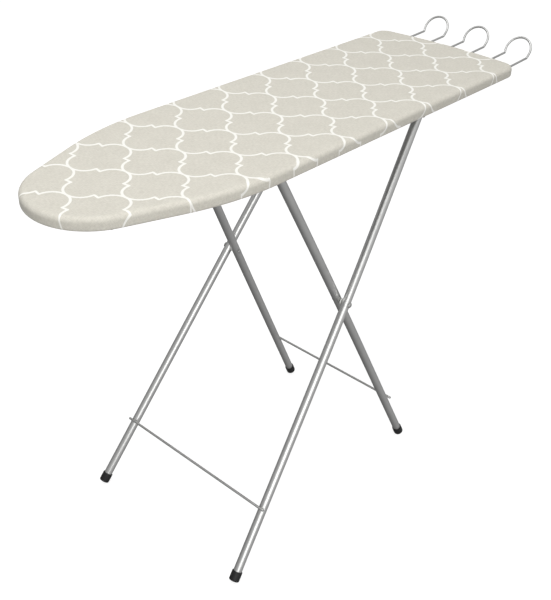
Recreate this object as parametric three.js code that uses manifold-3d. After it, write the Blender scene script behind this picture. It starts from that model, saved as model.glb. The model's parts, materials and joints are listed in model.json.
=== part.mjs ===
// Folding ironing board with crossed tube legs and a wire iron rest.
// Millimetres, +Z up. The origin is on the floor under the middle of the whole object's box.
// +X points to the square tail of the board, -X to its rounded nose, and +Y to its left side.
import * as THREE from 'three';
import { mergeVertices } from 'three/addons/utils/BufferGeometryUtils.js';
import Module from 'manifold-3d';

const wasm = await Module();
wasm.setup();

// ---------------------------------------------------------------- driving dimensions

const GAP = 0.3;                        // clearance kept between pieces that touch

// board, as dressed in its cover
const BOARD_LENGTH = 1184;
const BOARD_HALF_WIDTH = 190;
const BOARD_TOP = 900;
const BOARD_DEPTH = 25;
const REST_REACH = 142;                 // how far the iron rest stands out behind the tail
const NOSE_X = -(BOARD_LENGTH + REST_REACH) / 2;
const TAIL_X = NOSE_X + BOARD_LENGTH;
const NOSE_RADIUS = 125;
const TAPER_ANGLE = THREE.MathUtils.degToRad(20.4);
const SHOULDER_RADIUS = 560;            // the long curve from the taper into the parallel sides
const CORNER_RADIUS = 30;
const TAIL_BOW = 13.4;                  // how far the middle of the tail stands past its corners
const TOP_EDGE_RADIUS = 10;
const BOTTOM_EDGE_RADIUS = 5;

// cover, pad and deck
const COVER_THICKNESS = 1.5;
const HEM_WIDTH = 28;
const PAD_THICKNESS = 6;
const PAD_INSET = 6.5;
const DECK_SHEET = 1;
const DECK_INSET = 2.2;
const DECK_RIM_BOTTOM = 878;
const VENT_RADIUS = 10;
const VENT_PITCH = 76;
const VENT_ROWS = [0, 34, 128];

// stiffening ribs under the deck
const RIB_HEIGHT = 8;
const RIB_WIDTH = 24;
const RIB_WALL = 1.2;
const RIB_Y = 95;
const RIB_NOSE_END = -540;
const RIB_TAIL_END = 452;
const CROSS_RIB_HALF = 150;

// leg tubes
const TUBE_RADIUS = 9.5;
const TUBE_BORE = 8.3;
const CROSSING = { x: -50.5, z: 510.1 };
const OUTER = {
  footX: -435.7, footHalf: 217.6, crossHalf: 174.7, pivotX: 205.8, pivotZ: 855, pivotHalf: 140.2,
};
const INNER = {
  footX: 200.1, footHalf: 185.7, crossHalf: 151.6, pivotX: -218.7, pivotZ: 848, pivotHalf: 123.2,
};
const TUBE_OVERRUN = 10;                // tube left past the pivot axis at its upper end

// end caps
const CAP_RADIUS = 11.5;
const CAP_LENGTH = 22;
const CAP_FLOOR = 3;
const CAP_EDGE = 1.2;

// cross wires between the legs
const CROSS_WIRE_RADIUS = 2.75;
const OUTER_WIRE = { fromFoot: 166, halfLength: 217 };
const INNER_WIRE = { fromFoot: 153, halfLength: 187 };

// pivots
const RIVET_RADIUS = 3;
const RIVET_HEAD_RADIUS = 6;
const RIVET_HEAD_HEIGHT = 3;
const WASHER_RADIUS = 7;
const WASHER_THICKNESS = 2.4;
const PIVOT_BAR_RADIUS = 6;
const PIVOT_BAR_HALF = 154;
const SLIDE_BAR_RADIUS = 5;
const SLIDE_BAR_HALF = 137;

// brackets that carry the pivot bar
const BRACKET_Y = 112;
const BRACKET_PLATE = 2;
const BRACKET_HALF_LENGTH = 21;
const BRACKET_BOTTOM_RADIUS = 11;

// notched rails that the slide bar runs in
const RAIL_Y = 50;
const RAIL_NOSE_END = -616;
const RAIL_TAIL_END = -194;
const RAIL_BOTTOM = 835;
const RAIL_FLANGE = 14;
const GUIDE_NOSE_END = -556;           // the strip under the slot stops here, so the slot is open at its end
const SLOT_TAIL_END = -210;
const SLOT_BOTTOM = 842;
const SLOT_TOP = 863.5;
const NOTCH_COUNT = 6;
const NOTCH_PITCH = 42;
const NOTCH_DEPTH = 5;

// iron rest: three bent wire loops on two cross wires
const LOOP_WIRE_RADIUS = 2.5;
const LOOP_PITCH = 118;
const LOOP_LEG_HALF = 29.5;
const LOOP_RING_RADIUS = 31.5;
const LOOP_TILT = THREE.MathUtils.degToRad(54);
const LOOP_NECK_X = 634;
const LOOP_NECK_Z = 876;
const LOOP_LEG_Z = BOARD_TOP - BOARD_DEPTH - LOOP_WIRE_RADIUS - GAP;
const LOOP_ROOT_X = 448;
const LOOP_CROSS_X = [456, 484];
const LOOP_CROSS_HALF = 160;

// height lever
const LEVER_RADIUS = 3;
const LEVER_X = -150;
const LEVER_Z = 862;
const LEVER_HOOK = { x: -232, y: -20, z: 838.2 };
const LEVER_GRIP = { x: -86, y: -124, z: 846 };
const LEVER_EARS_Y = [-38, -104];
const LEVER_EAR_HALF = 12;
const LEVER_EAR_DROP = 9;               // how far the ears hang below the lever's axis
const SPRING_RADIUS = 5.2;
const SPRING_CLEARANCE = 0.8;
const SPRING_LENGTH = 22;
const SPRING_Y = -66;

// ---------------------------------------------------------------- materials

function paint(color, roughness, metalness) {
  return new THREE.MeshStandardMaterial({ color, roughness, metalness });
}

const SILVER = paint(0xb9bab8, 0.35, 0.85);
const BRIGHT_WIRE = paint(0xc9c9c7, 0.22, 0.95);
const ZINC = paint(0xa9abad, 0.4, 0.8);
const DECK_STEEL = paint(0xd8d8d4, 0.5, 0.3);
const BLACK_PLASTIC = paint(0x1a1a1b, 0.55, 0);
const WHITE_PLASTIC = paint(0xe9e9e6, 0.5, 0);
const COVER_FABRIC = paint(0xdad7cc, 0.95, 0);
const FELT = paint(0xe6e2da, 1, 0);

// ---------------------------------------------------------------- helpers

const vec = (x, y, z) => new THREE.Vector3(x, y, z);

function toManifold(geometry) {
  let plain = geometry.clone();
  plain.deleteAttribute('normal');
  plain.deleteAttribute('uv');
  plain = mergeVertices(plain, 1e-4);
  const vertProperties = new Float32Array(plain.attributes.position.array);
  const triVerts = new Uint32Array(plain.index.array);
  return new wasm.Manifold(new wasm.Mesh({ numProp: 3, vertProperties, triVerts }));
}

function toGeometry(solid) {
  const mesh = solid.getMesh();
  const geometry = new THREE.BufferGeometry();
  geometry.setAttribute('position', new THREE.BufferAttribute(mesh.vertProperties, 3));
  geometry.setIndex(new THREE.BufferAttribute(mesh.triVerts, 1));
  return geometry;
}

function cut(geometry, tools) {
  return toGeometry(tools.reduce((body, tool) => body.subtract(toManifold(tool)), toManifold(geometry)));
}

function join(geometries) {
  return toGeometry(geometries.map(toManifold).reduce((body, other) => body.add(other)));
}

function box(x0, x1, y0, y1, z0, z1) {
  return new THREE.BoxGeometry(x1 - x0, y1 - y0, z1 - z0)
    .translate((x0 + x1) / 2, (y0 + y1) / 2, (z0 + z1) / 2);
}

// a straight rod between two points
function rod(from, to, radius, sides = 12) {
  const along = to.clone().sub(from);
  const turn = new THREE.Quaternion().setFromUnitVectors(vec(0, 1, 0), along.clone().normalize());
  const middle = from.clone().add(to).multiplyScalar(0.5);
  return new THREE.CylinderGeometry(radius, radius, along.length(), sides)
    .applyQuaternion(turn).translate(middle.x, middle.y, middle.z);
}

const crosswiseRod = (x, z, y0, y1, radius, sides) => rod(vec(x, y0, z), vec(x, y1, z), radius, sides);

function circleShape(radius, sides) {
  const shape = new THREE.Shape();
  for (let i = 0; i < sides; i += 1) {
    const angle = (i / sides) * 2 * Math.PI;
    shape[i === 0 ? 'moveTo' : 'lineTo'](radius * Math.cos(angle), radius * Math.sin(angle));
  }
  shape.closePath();
  return shape;
}

// a round wire, or with a bore a tube, along a curve
function sweep(curve, radius, sides, steps, bore = 0) {
  const shape = circleShape(radius, sides);
  if (bore > 0) shape.holes.push(circleShape(bore, sides));
  return new THREE.ExtrudeGeometry(shape, { steps, extrudePath: curve, bevelEnabled: false });
}

// a flat plate drawn in the X-Z plane, standing between y0 and y1
function uprightPlate(shape, y0, y1) {
  return new THREE.ExtrudeGeometry(shape, { depth: y1 - y0, bevelEnabled: false, curveSegments: 8 })
    .rotateX(Math.PI / 2).translate(0, y1, 0);
}

// a turned piece: profile pairs are [radius, distance along +Y], then it is laid along a direction.
// One of its corners faces down, so a turned foot stands on a true corner of its rim.
function turned(profile, sides, origin, direction) {
  const points = profile.map(([r, h]) => new THREE.Vector2(r, h));
  const up = direction.clone().normalize();
  const down = vec(0, 0, -1).addScaledVector(up, up.z);
  if (down.lengthSq() < 1e-6) down.set(1, 0, 0);
  down.normalize();
  const frame = new THREE.Matrix4().makeBasis(up.clone().cross(down), up, down).setPosition(origin);
  return new THREE.LatheGeometry(points, sides).applyMatrix4(frame);
}

const group = new THREE.Group();

function add(name, geometry, material) {
  const mesh = new THREE.Mesh(geometry, material);
  mesh.name = name;
  group.add(mesh);
}

// ---------------------------------------------------------------- board outline

const TAIL_RADIUS = (BOARD_HALF_WIDTH ** 2 + TAIL_BOW ** 2) / (2 * TAIL_BOW);

// the four arcs of one half of the outline, from the tip of the nose to the middle of the tail
function outlineArcs() {
  const taperStart = Math.PI / 2 + TAPER_ANGLE;
  const noseX = NOSE_X + NOSE_RADIUS;
  const rise = BOARD_HALF_WIDTH - SHOULDER_RADIUS;
  const reach = SHOULDER_RADIUS - NOSE_RADIUS + rise * Math.cos(TAPER_ANGLE);
  const shoulderX = noseX + reach / Math.sin(TAPER_ANGLE);
  const tailX = TAIL_X - TAIL_RADIUS;
  const cornerY = BOARD_HALF_WIDTH - CORNER_RADIUS;
  const cornerX = tailX + Math.sqrt((TAIL_RADIUS - CORNER_RADIUS) ** 2 - cornerY ** 2);
  const cornerEnd = Math.atan2(cornerY, cornerX - tailX);
  return [
    { x: noseX, y: 0, radius: NOSE_RADIUS, from: Math.PI, to: taperStart, steps: 10 },
    { x: shoulderX, y: rise, radius: SHOULDER_RADIUS, from: taperStart, to: Math.PI / 2, steps: 6 },
    { x: cornerX, y: cornerY, radius: CORNER_RADIUS, from: Math.PI / 2, to: cornerEnd, steps: 4 },
    { x: tailX, y: 0, radius: TAIL_RADIUS, from: cornerEnd, to: 0, steps: 4 },
  ];
}

// outline points moved inwards by an inset, counter-clockwise seen from above
function outlinePoints(inset) {
  const half = [];
  for (const arc of outlineArcs()) {
    for (let i = 0; i <= arc.steps; i += 1) {
      const angle = arc.from + ((arc.to - arc.from) * i) / arc.steps;
      const radius = arc.radius - inset;
      const point = new THREE.Vector2(arc.x + radius * Math.cos(angle), arc.y + radius * Math.sin(angle));
      if (half.length === 0 || half[half.length - 1].distanceTo(point) > 1e-3) half.push(point);
    }
  }
  const mirrored = half.slice(1, -1).map((p) => new THREE.Vector2(p.x, -p.y));
  return mirrored.concat(half.reverse());
}

function halfWidthAt(x, inset) {
  const points = outlinePoints(inset);
  let widest = 0;
  for (let i = 0; i < points.length; i += 1) {
    const a = points[i];
    const b = points[(i + 1) % points.length];
    if ((a.x - x) * (b.x - x) <= 0 && a.x !== b.x) {
      widest = Math.max(widest, Math.abs(a.y + ((b.y - a.y) * (x - a.x)) / (b.x - a.x)));
    }
  }
  return widest;
}

// a slab of the board's outline; levels are [inset, height] pairs from the bottom up
function slab(levels) {
  const rings = levels.map(([inset, z]) => outlinePoints(inset).map((p) => vec(p.x, p.y, z)));
  const count = rings[0].length;
  const positions = rings.flat().flatMap((p) => [p.x, p.y, p.z]);
  const index = [];
  for (let level = 0; level + 1 < rings.length; level += 1) {
    for (let i = 0; i < count; i += 1) {
      const a = level * count + i;
      const b = level * count + ((i + 1) % count);
      index.push(a, b, b + count, a, b + count, a + count);
    }
  }
  const flat = outlinePoints(levels[0][0]);
  const top = (rings.length - 1) * count;
  for (const [a, b, c] of THREE.ShapeUtils.triangulateShape(flat, [])) {
    index.push(a, c, b);
    index.push(top + a, top + b, top + c);
  }
  const geometry = new THREE.BufferGeometry();
  geometry.setAttribute('position', new THREE.Float32BufferAttribute(positions, 3));
  geometry.setIndex(index);
  return geometry;
}

// levels of a slab whose lower and upper edges are rounded
function roundedLevels(inset, zLow, zHigh, lowRadius, highRadius) {
  const steps = 2;
  const levels = [];
  for (let i = 0; i <= steps; i += 1) {
    const angle = (i / steps) * (Math.PI / 2);
    levels.push([inset + lowRadius * (1 - Math.sin(angle)), zLow + lowRadius * (1 - Math.cos(angle))]);
  }
  for (let i = 0; i <= steps; i += 1) {
    const angle = (i / steps) * (Math.PI / 2);
    levels.push([inset + highRadius * (1 - Math.cos(angle)), zHigh - highRadius * (1 - Math.sin(angle))]);
  }
  return levels;
}

// ---------------------------------------------------------------- cover, pad and deck

const COVER_INSIDE_TOP = BOARD_TOP - COVER_THICKNESS;
const COVER_BOTTOM = BOARD_TOP - BOARD_DEPTH;
const HEM_TOP = COVER_BOTTOM + COVER_THICKNESS;
const PAD_TOP = COVER_INSIDE_TOP - GAP;
const PAD_BOTTOM = PAD_TOP - PAD_THICKNESS;
const DECK_TOP = PAD_BOTTOM - GAP;
const DECK_UNDERSIDE = DECK_TOP - DECK_SHEET;
const RIB_TOP = DECK_UNDERSIDE - GAP;
const RIB_BOTTOM = RIB_TOP - RIB_HEIGHT;

function addCover() {
  const outside = slab(roundedLevels(0, COVER_BOTTOM, BOARD_TOP, BOTTOM_EDGE_RADIUS, TOP_EDGE_RADIUS));
  const inside = slab(roundedLevels(
    COVER_THICKNESS, HEM_TOP, COVER_INSIDE_TOP,
    BOTTOM_EDGE_RADIUS - COVER_THICKNESS, TOP_EDGE_RADIUS - COVER_THICKNESS,
  ));
  const mouth = slab([[HEM_WIDTH, COVER_BOTTOM - 1], [HEM_WIDTH, HEM_TOP + 1]]);
  add('cover', cut(outside, [inside, mouth]), COVER_FABRIC);
}

function addPad() {
  add('pad', slab([[PAD_INSET, PAD_BOTTOM], [PAD_INSET, PAD_TOP - 4.5], [PAD_INSET + 2, PAD_TOP - 1.8],
    [PAD_INSET + 6, PAD_TOP]]), FELT);
}

function ventTools() {
  const tools = [];
  VENT_ROWS.forEach((row, rowIndex) => {
    const offset = rowIndex % 2 === 0 ? 0 : VENT_PITCH / 2;
    for (let x = NOSE_X + 60 + offset; x < TAIL_X - 40; x += VENT_PITCH) {
      if (halfWidthAt(x, DECK_INSET) < row + 2.2 * VENT_RADIUS) continue;
      for (const y of row === 0 ? [0] : [-row, row]) {
        tools.push(rod(vec(x, y, DECK_UNDERSIDE - 2), vec(x, y, DECK_TOP + 2), VENT_RADIUS, 6));
      }
    }
  });
  return tools;
}

function addDeck(rivetHoles) {
  const tray = slab([[DECK_INSET + 3, DECK_RIM_BOTTOM], [DECK_INSET, DECK_RIM_BOTTOM + 3],
    [DECK_INSET, DECK_TOP - 3], [DECK_INSET + 3, DECK_TOP]]);
  const innerInset = DECK_INSET + DECK_SHEET;
  const hollow = slab([[innerInset + 3, DECK_RIM_BOTTOM - 1], [innerInset, DECK_RIM_BOTTOM + 3],
    [innerInset, DECK_UNDERSIDE - 2], [innerInset + 2, DECK_UNDERSIDE]]);
  add('deck', cut(tray, [hollow, ...ventTools(), ...rivetHoles]), DECK_STEEL);
}

// a box section, open at both ends, running along X between two ends at one y
function ribAlongX(x0, x1, y) {
  const half = RIB_WIDTH / 2;
  const bore = half - RIB_WALL;
  return cut(
    box(x0, x1, y - half, y + half, RIB_BOTTOM, RIB_TOP),
    [box(x0 - 1, x1 + 1, y - bore, y + bore, RIB_BOTTOM + RIB_WALL, RIB_TOP - RIB_WALL)],
  );
}

// the same section running along Y at one x
function ribAlongY(x, halfLength) {
  const half = RIB_WIDTH / 2;
  const bore = half - RIB_WALL;
  return cut(
    box(x - half, x + half, -halfLength, halfLength, RIB_BOTTOM, RIB_TOP),
    [box(x - bore, x + bore, -halfLength - 1, halfLength + 1, RIB_BOTTOM + RIB_WALL, RIB_TOP - RIB_WALL)],
  );
}

// ---------------------------------------------------------------- rivets

// a dome-headed rivet standing up from below: the head is under zHead, the shank reaches zTop
function domeRivet(x, y, zHead, zTop) {
  return turned(
    [[0, -2], [2.4, -1.4], [4, -0.2], [4, 0], [2, 0], [2, zTop - zHead], [0, zTop - zHead]],
    10, vec(x, y, zHead), vec(0, 0, 1),
  );
}

const rivetHole = (x, y, z0, z1) => rod(vec(x, y, z0), vec(x, y, z1), 2 + GAP, 10);

const sides = [['left', 1], ['right', -1]];
const CROSS_RIB_X = (LOOP_CROSS_X[0] + LOOP_CROSS_X[1]) / 2 + 0.5;
const LOOP_BRACKET_Y = LOOP_PITCH / 2;

// rivets through a flange and the bottom wall of a rib: [name, x, y]
const RIB_RIVETS = sides.flatMap(([side, sign]) => [
  [`pivot_rivet_nose_${side}`, OUTER.pivotX - 12, sign * RIB_Y],
  [`pivot_rivet_tail_${side}`, OUTER.pivotX + 12, sign * RIB_Y],
]);
// rivets through a flange and the deck sheet
const RAIL_RIVETS = sides.flatMap(([side, sign]) => [
  [`rail_rivet_nose_${side}`, RAIL_NOSE_END + 20, sign * (RAIL_Y + 8)],
  [`rail_rivet_tail_${side}`, RAIL_TAIL_END - 20, sign * (RAIL_Y + 8)],
]);
const REST_RIVETS = sides.map(([side, sign]) => [
  `rest_rivet_${side}`, CROSS_RIB_X, sign * (LOOP_BRACKET_Y + 8),
]);

function addRibs() {
  for (const [side, sign] of sides) {
    const holes = RIB_RIVETS.filter(([, , y]) => y * sign > 0)
      .map(([, x, y]) => rivetHole(x, y, RIB_BOTTOM - 1, RIB_BOTTOM + 2.5));
    add(`deck_rib_${side}`, cut(ribAlongX(RIB_NOSE_END, RIB_TAIL_END, sign * RIB_Y), holes), DECK_STEEL);
  }
  const holes = REST_RIVETS.map(([, x, y]) => rivetHole(x, y, RIB_BOTTOM - 1, RIB_BOTTOM + 2.5));
  add('tail_cross_rib', cut(ribAlongY(CROSS_RIB_X, CROSS_RIB_HALF), holes), DECK_STEEL);
}

// ---------------------------------------------------------------- brackets and rails

const FLANGE_TOP = RIB_BOTTOM - GAP;
const FLANGE_BOTTOM = FLANGE_TOP - BRACKET_PLATE;

function addPivotBrackets() {
  for (const [side, sign] of sides) {
    const { pivotX: x, pivotZ: z } = OUTER;
    const ear = new THREE.Shape();
    ear.moveTo(x - BRACKET_HALF_LENGTH, FLANGE_TOP);
    ear.lineTo(x - BRACKET_BOTTOM_RADIUS, z);
    ear.absarc(x, z, BRACKET_BOTTOM_RADIUS, Math.PI, 2 * Math.PI, false);
    ear.lineTo(x + BRACKET_HALF_LENGTH, FLANGE_TOP);
    ear.closePath();
    const yEar = sign * BRACKET_Y;
    const yFlange = sign * (RIB_Y - RIB_WIDTH / 2 + 2);
    const flange = box(
      x - BRACKET_HALF_LENGTH, x + BRACKET_HALF_LENGTH,
      Math.min(yEar, yFlange), Math.max(yEar, yFlange), FLANGE_BOTTOM, FLANGE_TOP,
    );
    const plate = join([uprightPlate(ear, yEar - BRACKET_PLATE / 2, yEar + BRACKET_PLATE / 2), flange]);
    const holes = RIB_RIVETS.filter(([, , y]) => y * sign > 0)
      .map(([, rx, ry]) => rivetHole(rx, ry, FLANGE_BOTTOM - 1, FLANGE_TOP + 1));
    const bore = crosswiseRod(x, z, yEar - 10, yEar + 10, PIVOT_BAR_RADIUS + GAP, 16);
    add(`pivot_bracket_${side}`, cut(plate, [bore, ...holes]), ZINC);
  }
}

function addHeightRails() {
  const top = DECK_UNDERSIDE - GAP;
  for (const [side, sign] of sides) {
    const web = new THREE.Shape();
    web.moveTo(RAIL_NOSE_END, top);
    web.lineTo(RAIL_NOSE_END, SLOT_TOP);
    for (let i = NOTCH_COUNT - 1; i >= 0; i -= 1) {
      const x = SLOT_TAIL_END - 4 - i * NOTCH_PITCH;
      web.lineTo(x - 20, SLOT_TOP);
      web.lineTo(x - 12, SLOT_TOP + NOTCH_DEPTH);
      web.lineTo(x - 2, SLOT_TOP + NOTCH_DEPTH);
      web.lineTo(x, SLOT_TOP);
    }
    web.lineTo(SLOT_TAIL_END, SLOT_TOP);
    web.lineTo(SLOT_TAIL_END, SLOT_BOTTOM);
    web.lineTo(GUIDE_NOSE_END, SLOT_BOTTOM);
    web.lineTo(GUIDE_NOSE_END + 6, RAIL_BOTTOM);
    web.lineTo(RAIL_TAIL_END - 8, RAIL_BOTTOM);
    web.lineTo(RAIL_TAIL_END, RAIL_BOTTOM + 8);
    web.lineTo(RAIL_TAIL_END, top);
    web.closePath();
    const y = sign * RAIL_Y;
    const yFlange = sign * (RAIL_Y + RAIL_FLANGE);
    const flange = box(
      RAIL_NOSE_END, RAIL_TAIL_END, Math.min(y, yFlange), Math.max(y, yFlange), top - BRACKET_PLATE, top,
    );
    const plate = join([uprightPlate(web, y - BRACKET_PLATE / 2, y + BRACKET_PLATE / 2), flange]);
    const holes = RAIL_RIVETS.filter(([, , ry]) => ry * sign > 0)
      .map(([, rx, ry]) => rivetHole(rx, ry, top - BRACKET_PLATE - 1, top + 1));
    add(`height_rail_${side}`, cut(plate, holes), ZINC);
  }
}

function addRivets() {
  for (const [name, x, y] of RIB_RIVETS.concat(REST_RIVETS)) {
    add(name, domeRivet(x, y, FLANGE_BOTTOM - GAP, RIB_BOTTOM + 1.1), ZINC);
  }
  for (const [name, x, y] of RAIL_RIVETS) {
    add(name, domeRivet(x, y, DECK_UNDERSIDE - BRACKET_PLATE - 2 * GAP, DECK_TOP - 0.1), ZINC);
  }
}

// ---------------------------------------------------------------- iron rest

// the ring's middle sits this far above its neck, measured in the ring's plane
const RING_CENTRE = Math.sqrt(LOOP_RING_RADIUS ** 2 - (LOOP_LEG_HALF - 1.2) ** 2);

function loopCurve(y) {
  const points = [
    vec(LOOP_ROOT_X, y - LOOP_LEG_HALF, LOOP_LEG_Z),
    vec(TAIL_X - 30, y - LOOP_LEG_HALF, LOOP_LEG_Z),
    vec(TAIL_X + 8, y - LOOP_LEG_HALF, LOOP_LEG_Z + 0.1),
    vec(LOOP_NECK_X - 8, y - LOOP_LEG_HALF, LOOP_NECK_Z - 0.5),
    vec(LOOP_NECK_X, y - LOOP_LEG_HALF, LOOP_NECK_Z),
  ];
  const start = Math.atan2(-RING_CENTRE, -(LOOP_LEG_HALF - 1.2)) + 2 * Math.PI;
  const end = Math.atan2(-RING_CENTRE, LOOP_LEG_HALF - 1.2);
  const turns = 16;
  for (let i = 1; i < turns; i += 1) {
    const angle = start + ((end - start) * i) / turns;
    const along = RING_CENTRE + LOOP_RING_RADIUS * Math.sin(angle);
    points.push(vec(
      LOOP_NECK_X + along * Math.cos(LOOP_TILT),
      y + LOOP_RING_RADIUS * Math.cos(angle),
      LOOP_NECK_Z + along * Math.sin(LOOP_TILT),
    ));
  }
  const otherLeg = points.slice(0, 5).map((p) => vec(p.x, 2 * y - p.y, p.z)).reverse();
  return new THREE.CatmullRomCurve3(points.concat(otherLeg), false, 'centripetal');
}

function addIronRest() {
  const names = ['rest_loop_right', 'rest_loop_middle', 'rest_loop_left'];
  names.forEach((name, i) => {
    add(name, sweep(loopCurve((i - 1) * LOOP_PITCH), LOOP_WIRE_RADIUS, 6, 66), BRIGHT_WIRE);
  });
  const wireZ = LOOP_LEG_Z - 2 * LOOP_WIRE_RADIUS - GAP;
  ['nose', 'tail'].forEach((end, i) => {
    const wire = crosswiseRod(LOOP_CROSS_X[i], wireZ, -LOOP_CROSS_HALF, LOOP_CROSS_HALF, LOOP_WIRE_RADIUS, 8);
    add(`rest_cross_wire_${end}`, wire, BRIGHT_WIRE);
  });
  for (const [side, sign] of sides) {
    const y = sign * LOOP_BRACKET_Y;
    const yFlange = sign * (LOOP_BRACKET_Y + 16);
    const x0 = LOOP_CROSS_X[0] - 7;
    const x1 = LOOP_CROSS_X[1] + 5;
    const ear = box(x0, x1, y - 1, y + 1, wireZ - 6, FLANGE_TOP);
    const flange = box(x0, x1, Math.min(y, yFlange), Math.max(y, yFlange), FLANGE_BOTTOM, FLANGE_TOP);
    const bores = LOOP_CROSS_X.map((x) => crosswiseRod(x, wireZ, y - 5, y + 5, LOOP_WIRE_RADIUS + GAP, 10));
    const holes = REST_RIVETS.filter(([, , ry]) => ry * sign > 0)
      .map(([, rx, ry]) => rivetHole(rx, ry, FLANGE_BOTTOM - 1, FLANGE_TOP + 1));
    add(`rest_bracket_${side}`, cut(join([ear, flange]), [...bores, ...holes]), ZINC);
  }
}

// ---------------------------------------------------------------- legs

// the middle of the cap's end face, set so that the lowest corner of its rim is on the floor
function footPoint(frame, sign) {
  const foot = vec(frame.footX, sign * frame.footHalf, 0);
  const crossing = vec(CROSSING.x, sign * frame.crossHalf, CROSSING.z);
  const steep = crossing.sub(foot).normalize();
  const tilt = Math.sqrt(1 - steep.z ** 2);
  foot.z = Math.max(CAP_RADIUS * tilt - CAP_EDGE * steep.z, (CAP_RADIUS - CAP_EDGE) * tilt);
  return foot;
}

function legCurve(frame, sign, fromFoot) {
  const foot = footPoint(frame, sign);
  const crossing = vec(CROSSING.x, sign * frame.crossHalf, CROSSING.z);
  const pivot = vec(frame.pivotX, sign * frame.pivotHalf, frame.pivotZ);
  const lower = crossing.clone().sub(foot).normalize();
  const upper = pivot.clone().sub(crossing).normalize();
  return new THREE.CatmullRomCurve3(
    [foot.clone().addScaledVector(lower, fromFoot), crossing, pivot.addScaledVector(upper, TUBE_OVERRUN)],
    false, 'centripetal',
  );
}

function addLeg(name, frame, sign, pivotHoleRadius) {
  const tube = sweep(legCurve(frame, sign, CAP_FLOOR + GAP), TUBE_RADIUS, 16, 4, TUBE_BORE);
  const yCross = sign * frame.crossHalf;
  const yPivot = sign * frame.pivotHalf;
  add(name, cut(tube, [
    crosswiseRod(CROSSING.x, CROSSING.z, yCross - 20, yCross + 20, RIVET_RADIUS + GAP, 8),
    crosswiseRod(frame.pivotX, frame.pivotZ, yPivot - 20, yPivot + 20, pivotHoleRadius + GAP, 10),
  ]), SILVER);
}

function addCap(name, frame, sign) {
  const foot = footPoint(frame, sign);
  const direction = vec(CROSSING.x, sign * frame.crossHalf, CROSSING.z).sub(foot);
  const bore = TUBE_RADIUS + GAP;
  add(name, turned([
    [0, 0], [CAP_RADIUS - CAP_EDGE, 0], [CAP_RADIUS, CAP_EDGE], [CAP_RADIUS, CAP_LENGTH - CAP_EDGE],
    [CAP_RADIUS - CAP_EDGE / 2, CAP_LENGTH], [bore, CAP_LENGTH], [bore, CAP_FLOOR], [0, CAP_FLOOR],
  ], 20, foot, direction), BLACK_PLASTIC);
}

// a wire across both tubes of a frame, lying on their upper faces
function addCrossWire(name, frame, wire, upperFaceSign) {
  const foot = footPoint(frame, 1);
  const crossing = vec(CROSSING.x, frame.crossHalf, CROSSING.z);
  const along = crossing.sub(foot).normalize();
  const at = foot.addScaledVector(along, wire.fromFoot);
  const face = new THREE.Vector2(upperFaceSign * along.z, -upperFaceSign * along.x).normalize();
  const offset = TUBE_RADIUS + CROSS_WIRE_RADIUS + GAP;
  const x = at.x + face.x * offset;
  const z = at.z + face.y * offset;
  add(name, crosswiseRod(x, z, -wire.halfLength, wire.halfLength, CROSS_WIRE_RADIUS, 12), BRIGHT_WIRE);
}

// the rivet through one crossing, with its head outside and its upset end inside, and the washer between
function addCrossingPivot(side, sign) {
  const outside = OUTER.crossHalf + TUBE_RADIUS + 0.9;
  const inside = INNER.crossHalf - TUBE_RADIUS - 0.9;
  const shank = outside - inside;
  add(`crossing_rivet_${side}`, turned([
    [0, -RIVET_HEAD_HEIGHT], [RIVET_HEAD_RADIUS - 2, -RIVET_HEAD_HEIGHT + 0.6], [RIVET_HEAD_RADIUS, -0.8],
    [RIVET_HEAD_RADIUS, 0], [RIVET_RADIUS, 0], [RIVET_RADIUS, shank], [RIVET_HEAD_RADIUS - 1, shank],
    [RIVET_HEAD_RADIUS - 1, shank + 1], [RIVET_HEAD_RADIUS - 2.5, shank + 2.2], [0, shank + 2.6],
  ], 16, vec(CROSSING.x, sign * outside, CROSSING.z), vec(0, -sign, 0)), BRIGHT_WIRE);
  const middle = (OUTER.crossHalf + INNER.crossHalf) / 2;
  const bore = RIVET_RADIUS + GAP;
  const half = WASHER_THICKNESS / 2;
  add(`crossing_washer_${side}`, turned(
    [[bore, -half], [WASHER_RADIUS, -half], [WASHER_RADIUS, half], [bore, half], [bore, -half]],
    16, vec(CROSSING.x, sign * middle, CROSSING.z), vec(0, 1, 0),
  ), WHITE_PLASTIC);
}

function addLegs() {
  for (const [side, sign] of sides) {
    addLeg(`outer_leg_${side}`, OUTER, sign, PIVOT_BAR_RADIUS);
    addLeg(`inner_leg_${side}`, INNER, sign, SLIDE_BAR_RADIUS);
    addCap(`outer_foot_cap_${side}`, OUTER, sign);
    addCap(`inner_foot_cap_${side}`, INNER, sign);
    addCrossingPivot(side, sign);
  }
  addCrossWire('outer_cross_wire', OUTER, OUTER_WIRE, -1);
  addCrossWire('inner_cross_wire', INNER, INNER_WIRE, 1);
  add('pivot_bar', crosswiseRod(
    OUTER.pivotX, OUTER.pivotZ, -PIVOT_BAR_HALF, PIVOT_BAR_HALF, PIVOT_BAR_RADIUS, 16,
  ), ZINC);
  add('slide_bar', crosswiseRod(
    INNER.pivotX, INNER.pivotZ, -SLIDE_BAR_HALF, SLIDE_BAR_HALF, SLIDE_BAR_RADIUS, 16,
  ), ZINC);
}

// ---------------------------------------------------------------- height lever

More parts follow.
